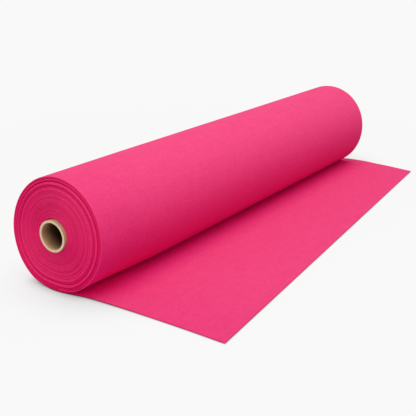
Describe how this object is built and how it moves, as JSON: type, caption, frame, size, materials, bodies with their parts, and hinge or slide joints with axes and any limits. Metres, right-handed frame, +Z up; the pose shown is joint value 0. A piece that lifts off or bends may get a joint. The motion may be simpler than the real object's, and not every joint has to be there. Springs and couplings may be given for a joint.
{
  "type": "roll of matte fabric",
  "caption": "Wide roll of matte felt-like cloth wound on a cardboard tube, with its loose end unrolled flat beside it and cut at a slight slant.",
  "frame": {"origin": "on the ground under the roll's axis, halfway along the roll, on the underside of the sheet that runs out from under it", "axes": "+Y along the roll's axis from its near end to its far end, +X the way the loose end lies, +Z up"},
  "size_m": [0.625, 1.5501, 0.286],
  "materials": {
    "cloth": "matte",
    "cardboard": "matte"
  },
  "bodies": {
    "root": {"core_tube": "cardboard", "wound_cloth": "cloth", "loose_end": "cloth"}
  },
  "joints": []
}
